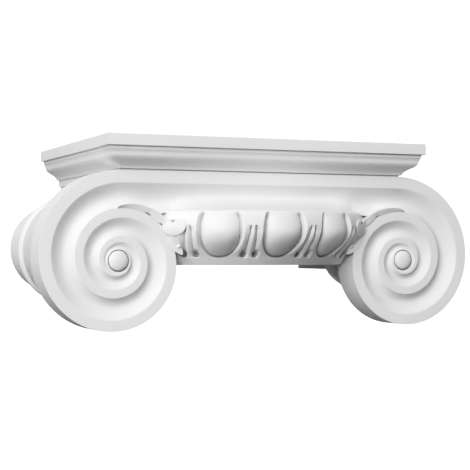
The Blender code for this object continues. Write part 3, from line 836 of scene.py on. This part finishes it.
def make_rear_blocks():
    """Blocks under the bolsters' ends, on both sides of the shaft's seat."""
    builder = bmesh.new()
    low = (REAR_BLOCK_INNER, BAND_END_Y - OVERLAP, -REAR_BLOCK_DROP)
    add_box(builder, low, (REAR_BLOCK_OUTER, 0.0, REAR_BLOCK_TOP))
    blocks = new_object("rear_blocks", builder)
    mirror_across_middle(blocks)
    return blocks


def carrier_y(x, height):
    """Depth of the surface under the sprig: the plate, then the round echinus."""
    share = (height - ECHINUS_FOOT_HEIGHT) / BAND_RANGE
    radius = web_radius(min(share, ECHINUS_BULGE))
    if abs(x) >= radius:
        return FACE_Y
    return min(FACE_Y, centre_y(height) - math.sqrt(radius ** 2 - x * x))


def ribbon_edges():
    """Lower edge, upper edge and inner bevel of the ribbon along the volute's rim."""
    edges = []
    for step in range(RIBBON_STEPS):
        share = step / RIBBON_STEPS
        angle = TURN * mix(RIBBON_START_TURN, RIBBON_END_TURN, share)
        rim = spiral_radius(angle)
        width = mix(RIBBON_WIDTH / 8, RIBBON_WIDTH, share ** RIBBON_SWELL)
        lift = -RIBBON_SINK
        for turn in RIBBON_GAP_TURNS:
            off = abs(angle / TURN - turn) / RIBBON_GAP_HALF_TURN
            lift += (RIBBON_SINK + RIBBON_GAP) * smooth_step(2 - 2 * off)
        radii = (rim + lift, rim + width, rim + width + RIBBON_WIDTH / 8)
        edges.append([around_eye(angle, radius) for radius in radii])
    return edges


def scroll_edges():
    """Outer edge, inner edge and bevel of the ribbon where it winds round its eye."""
    start_x, start_z = ribbon_edges()[-1][0]
    start = math.atan2(start_z - SCROLL_ABOVE_SEAT, start_x - SCROLL_X)
    edges = []
    for step in range(SCROLL_STEPS + 1):
        turned = SCROLL_SWEEP * step / SCROLL_STEPS
        side, up = math.cos(start - turned), math.sin(start - turned)
        radius = SCROLL_RADIUS - SCROLL_TIGHTENING * smooth_step(2 * turned / TURN)
        closing = smooth_step((turned / SCROLL_SWEEP - SCROLL_CLOSING) / (1 - SCROLL_CLOSING))
        eye = SCROLL_EYE_RADIUS
        row = []
        for ring in (eye * SCROLL_EYE_BORDER, eye, eye / 5):
            row.append((SCROLL_EYE_X + ring * side, SCROLL_EYE_ABOVE_SEAT + ring * up))
        outer_x = mix(SCROLL_X + radius * side, row[0][0], closing)
        outer_z = mix(SCROLL_ABOVE_SEAT + radius * up, row[0][1], closing)
        edges.append([(outer_x, outer_z), row[1], row[2]])
    return edges


def make_sprigs():
    """Flat ribbon that leaves the rim's top and rolls up into a scroll."""
    builder = bmesh.new()
    rings = []
    root = FACE_Y + SPRIG_ROOT
    sections = ribbon_edges() + scroll_edges()
    for place, (outer, inner, bevel) in enumerate(sections):
        rolled = smooth_step(place / RIBBON_STEPS - SCROLL_ONSET)
        low = mix(RIBBON_LOW_SIDE, SCROLL_LOW_SIDE, rolled)
        section = [(bevel[0], root, bevel[1]), (outer[0], root, outer[1])]
        for share in rounded_shares(RIBBON_POINTS):
            x, z = mix(outer[0], inner[0], share), mix(outer[1], inner[1], share)
            rounding = 1 - RIBBON_EDGE_DROP * abs(2 * share - 1) ** RIBBON_EDGE_SHARPNESS
            rise = RIBBON_LIFT * mix(low, 1.0, share) * rounding
            section.append((x, carrier_y(x, z) - rise, z))
        eye = carrier_y(*bevel) - RIBBON_LIFT + SCROLL_EYE_DEPTH
        depth = mix(root - RIBBON_SINK, eye, smooth_step(place / RIBBON_STEPS * 2 - 1))
        section.append((bevel[0], depth, bevel[1]))
        rings.append([builder.verts.new(point) for point in section])
    for first, second in zip(rings, rings[1:]):
        fill_strip(builder, closed(first), closed(second))
    builder.faces.new(rings[0])
    builder.faces.new(rings[-1])
    sprigs = new_object("sprigs", builder)
    mirror_across_middle(sprigs)
    return sprigs


def make_leaflets():
    """Small pointed leaf with a midrib that hangs below the scroll."""
    builder = bmesh.new()
    stem_x, stem_z = LEAFLET_STEM_X, LEAFLET_STEM_ABOVE_SEAT
    tip_x, tip_z = LEAFLET_TIP_X, LEAFLET_TIP_ABOVE_SEAT
    length = math.hypot(tip_x - stem_x, tip_z - stem_z)
    side_x, side_z = (stem_z - tip_z) / length, (tip_x - stem_x) / length
    rings = []
    for step in range(LEAF_STEPS + 1):
        share = step / LEAF_STEPS
        swell = math.sin(math.pi * share ** LEAFLET_SWELL) ** LEAFLET_SWELL
        half = LEAFLET_HALF_WIDTH * mix(LEAFLET_END, 1.0, swell)
        lift = LEAFLET_LIFT * mix(LEAFLET_END_LIFT, 1.0, math.sin(math.pi * share))
        x, z = mix(stem_x, tip_x, share), mix(stem_z, tip_z, share)
        ring = []
        for across in rounded_shares(RIBBON_POINTS):
            offset = (2 * across - 1) * half
            px, pz = x + offset * side_x, z + offset * side_z
            vein = LEAFLET_VEIN * (1 - abs(2 * across - 1)) ** LEAFLET_VEIN_SHARPNESS
            rise = lift * (mix(LEAFLET_EDGE_LIFT, 1.0, math.sin(math.pi * across)) - vein)
            ring.append((px, carrier_y(px, pz) - rise, pz))
        root = FACE_Y + SPRIG_ROOT
        ring += [(ring[-1][0], root, ring[-1][2]), (ring[0][0], root, ring[0][2])]
        rings.append([builder.verts.new(point) for point in ring])
    for first, second in zip(rings, rings[1:]):
        fill_strip(builder, closed(first), closed(second))
    builder.faces.new(rings[0])
    builder.faces.new(rings[-1])
    leaflets = new_object("leaflets", builder)
    mirror_across_middle(leaflets)
    return leaflets


def make_hooks():
    """Bead at the curled tip of the small leaf."""
    builder = bmesh.new()
    x, z = HOOK_PLACE
    place = Matrix.Translation((x, carrier_y(x, z) - LEAFLET_LIFT / 2, z))
    fineness = {"u_segments": HOOK_SEGMENTS, "v_segments": HOOK_RINGS}
    bmesh.ops.create_uvsphere(builder, radius=HOOK_RADIUS, matrix=place, **fineness)
    hooks = new_object("hooks", builder)
    mirror_across_middle(hooks)
    return hooks


def join_forms(body, forms):
    for form in forms:
        union = body.modifiers.new("Join " + form.name, "BOOLEAN")
        union.operation = "UNION"
        union.solver = "MANIFOLD"
        union.object = form
    apply_modifiers(body)
    for form in forms:
        bpy.data.objects.remove(form)


def primed_white():
    """Satin white primer: slight mottling, a faint orange-peel bump, and painted shade that
    darkens crevices.
    """
    material = bpy.data.materials.new("primed white")
    material.use_nodes = True
    nodes = material.node_tree.nodes
    links = material.node_tree.links
    shader = nodes["Principled BSDF"]
    shader.inputs["Roughness"].default_value = PRIMER_ROUGHNESS
    shader.inputs["Specular IOR Level"].default_value = PRIMER_SHINE
    place = nodes.new("ShaderNodeTexCoord")
    clouds = nodes.new("ShaderNodeTexNoise")
    clouds.inputs["Scale"].default_value = CLOUD_SCALE
    clouds.inputs["Detail"].default_value = 4.0
    colours = nodes.new("ShaderNodeValToRGB")
    stops = colours.color_ramp.elements
    for stop, position, tone in zip(stops, CLOUD_RANGE, (CLOUD_DARK, CLOUD_LIGHT)):
        stop.position = position
        stop.color = tone
    peel = nodes.new("ShaderNodeTexNoise")
    peel.inputs["Scale"].default_value = PEEL_SCALE
    peel.inputs["Detail"].default_value = 2.0
    bump = nodes.new("ShaderNodeBump")
    bump.inputs["Strength"].default_value = PEEL_STRENGTH
    bump.inputs["Distance"].default_value = PEEL_DEPTH
    links.new(place.outputs["Object"], clouds.inputs["Vector"])
    links.new(place.outputs["Object"], peel.inputs["Vector"])
    links.new(clouds.outputs["Fac"], colours.inputs["Fac"])
    # Painted shade: ambient occlusion darkens the base colour in crevices and hollows
    hollow = nodes.new("ShaderNodeAmbientOcclusion")
    hollow.samples = CREVICE_SHADE_SAMPLES
    hollow.inputs["Distance"].default_value = CREVICE_SHADE_REACH
    depth = nodes.new("ShaderNodeMapRange")
    depth.inputs["From Min"].default_value = CREVICE_SHADE_RANGE[0]
    depth.inputs["From Max"].default_value = CREVICE_SHADE_RANGE[1]
    depth.inputs["To Min"].default_value = CREVICE_SHADE_TONE
    shade = nodes.new("ShaderNodeMix")
    shade.data_type = "RGBA"
    shade.blend_type = "MULTIPLY"
    shade.inputs[0].default_value = 1.0
    links.new(hollow.outputs["AO"], depth.inputs["Value"])
    links.new(colours.outputs["Color"], shade.inputs[6])
    links.new(depth.outputs["Result"], shade.inputs[7])
    links.new(shade.outputs[2], shader.inputs["Base Color"])
    links.new(peel.outputs["Fac"], bump.inputs["Height"])
    links.new(bump.outputs["Normal"], shader.inputs["Normal"])
    return material


def make_capital():
    capital = make_body()
    forms = [make_abacus(), make_echinus(), make_rear_blocks(), make_bolsters()]
    forms += [make_plate(), make_sprigs(), make_leaflets(), make_hooks()]
    join_forms(capital, forms)
    capital.data.materials.clear()
    capital.data.materials.append(primed_white())
    capital.data.shade_smooth()
    capital.data.set_sharp_from_angle(angle=SHARP_ANGLE)
    weighted = capital.modifiers.new("Weighted normals", "WEIGHTED_NORMAL")
    weighted.keep_sharp = True
    apply_modifiers(capital)
    return capital


def keep_in_box(thing, box):
    """Trim the curves where they bulge a hair past the solid's facets."""
    low, high = box
    for vertex in thing.data.vertices:
        for axis, shift in enumerate(thing.location):
            place = min(max(vertex.co[axis] + shift, low[axis]), high[axis])
            vertex.co[axis] = place - shift


def add_camera():
    camera = bpy.data.cameras.new("camera")
    camera.lens = CAMERA_LENS
    camera.sensor_width = SENSOR_WIDTH
    holder = bpy.data.objects.new("camera", camera)
    holder.location = CAMERA_PLACE
    holder.rotation_euler = (math.pi / 2 + CAMERA_LIFT, 0.0, CAMERA_TURN)
    bpy.context.collection.objects.link(holder)
    bpy.context.scene.camera = holder


def add_light(name, place, size, power):
    light = bpy.data.lights.new(name, "AREA")
    light.shape = "RECTANGLE"
    light.size, light.size_y = size
    light.energy = power
    holder = bpy.data.objects.new(name, light)
    holder.location = place
    aim = Vector(LIGHT_TARGET) - Vector(place)
    holder.rotation_euler = aim.to_track_quat("-Z", "Y").to_euler()
    bpy.context.collection.objects.link(holder)


def add_world():
    """Soft sky that is dark below, with a white backdrop behind the capital."""
    world = bpy.data.worlds.new("studio")
    world.use_nodes = True
    nodes = world.node_tree.nodes
    links = world.node_tree.links
    background = nodes["Background"]
    background.inputs["Strength"].default_value = 1.0
    place = nodes.new("ShaderNodeTexCoord")
    split = nodes.new("ShaderNodeSeparateXYZ")
    height = nodes.new("ShaderNodeMapRange")
    height.inputs["From Min"].default_value = -1.0
    height.inputs["From Max"].default_value = 1.0
    ramp = nodes.new("ShaderNodeValToRGB")
    stops = ramp.color_ramp.elements
    stops.new(SKY_STOPS[1][0])
    for stop, (position, level) in zip(stops, SKY_STOPS):
        stop.position = position
        stop.color = (level, level, level, 1.0)
    links.new(place.outputs["Generated"], split.inputs["Vector"])
    links.new(split.outputs["Z"], height.inputs["Value"])
    links.new(height.outputs["Result"], ramp.inputs["Fac"])
    facing = nodes.new("ShaderNodeVectorMath")
    facing.operation = "DOT_PRODUCT"
    facing.inputs[1].default_value = (-math.sin(CAMERA_TURN), math.cos(CAMERA_TURN), 0.0)
    patch = nodes.new("ShaderNodeMapRange")
    patch.inputs["From Min"].default_value = BACKDROP_EDGE[0]
    patch.inputs["From Max"].default_value = BACKDROP_EDGE[1]
    blend = nodes.new("ShaderNodeMix")
    blend.data_type = "RGBA"
    blend.inputs[7].default_value = (BACKDROP_LEVEL, BACKDROP_LEVEL, BACKDROP_LEVEL, 1.0)
    links.new(place.outputs["Generated"], facing.inputs[0])
    links.new(facing.outputs["Value"], patch.inputs["Value"])
    links.new(patch.outputs["Result"], blend.inputs[0])
    links.new(ramp.outputs["Color"], blend.inputs[6])
    links.new(blend.outputs[2], background.inputs["Color"])
    bpy.context.scene.world = world


def set_view():
    """Plain view with softened highlights and deeper shadows, nearer to the photo's."""
    view = bpy.context.scene.view_settings
    view.view_transform = "Standard"
    view.use_curve_mapping = True
    curve = view.curve_mapping.curves[3]
    for place, level in VIEW_CURVE:
        curve.points.new(place, level)
    curve.points[-1].location = VIEW_END
    view.curve_mapping.update()


def add_floor():
    builder = bmesh.new()
    bmesh.ops.create_circle(builder, cap_ends=True, segments=96, radius=FLOOR_RADIUS)
    mesh = bpy.data.meshes.new("floor")
    builder.to_mesh(mesh)
    builder.free()
    floor = bpy.data.objects.new("floor", mesh)
    floor.location = (0.0, FLOOR_Y, SEAT_Z - FLOOR_DROP)
    bpy.context.collection.objects.link(floor)
    material = bpy.data.materials.new("pale floor")
    material.use_nodes = True
    shader = material.node_tree.nodes["Principled BSDF"]
    shader.inputs["Base Color"].default_value = (FLOOR_LEVEL, FLOOR_LEVEL, FLOOR_LEVEL, 1.0)
    shader.inputs["Roughness"].default_value = FLOOR_ROUGHNESS
    mesh.materials.append(material)


capital = make_capital()
keep_in_box(capital, cad_box)
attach(capital, "root")
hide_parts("capital")
add_camera()
add_world()
add_floor()
for name, (place, size, power) in LIGHTS.items():
    add_light(name, place, size, power)
set_view()
